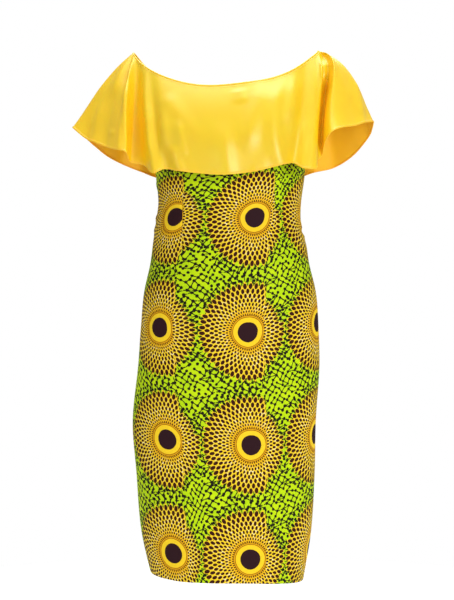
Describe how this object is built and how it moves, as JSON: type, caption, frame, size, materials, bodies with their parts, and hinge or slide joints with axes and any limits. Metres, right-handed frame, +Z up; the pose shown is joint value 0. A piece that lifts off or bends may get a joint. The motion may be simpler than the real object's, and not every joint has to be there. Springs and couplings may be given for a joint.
{
  "type": "cape dress",
  "caption": "Fitted midi sheath dress of printed cotton under an off-shoulder satin cape that falls in soft flutes over the chest, arms and back.",
  "frame": {"origin": "midway between the two points where the neckline crosses the shoulders, on which the dress is held up", "axes": "+Z up towards the wearer's head, -Y the front of the dress, +X the wearer's left"},
  "size_m": [0.6028, 0.3172, 1.0545],
  "materials": {
    "printed_cotton": "matt printed cotton with a faint glaze",
    "yellow_satin": "soft satin sheen"
  },
  "bodies": {
    "root": {"front_panel": "printed_cotton", "back_panel_left": "printed_cotton", "back_panel_right": "printed_cotton", "cape_front": "yellow_satin", "cape_back": "yellow_satin", "neck_binding": "yellow_satin"}
  },
  "joints": []
}
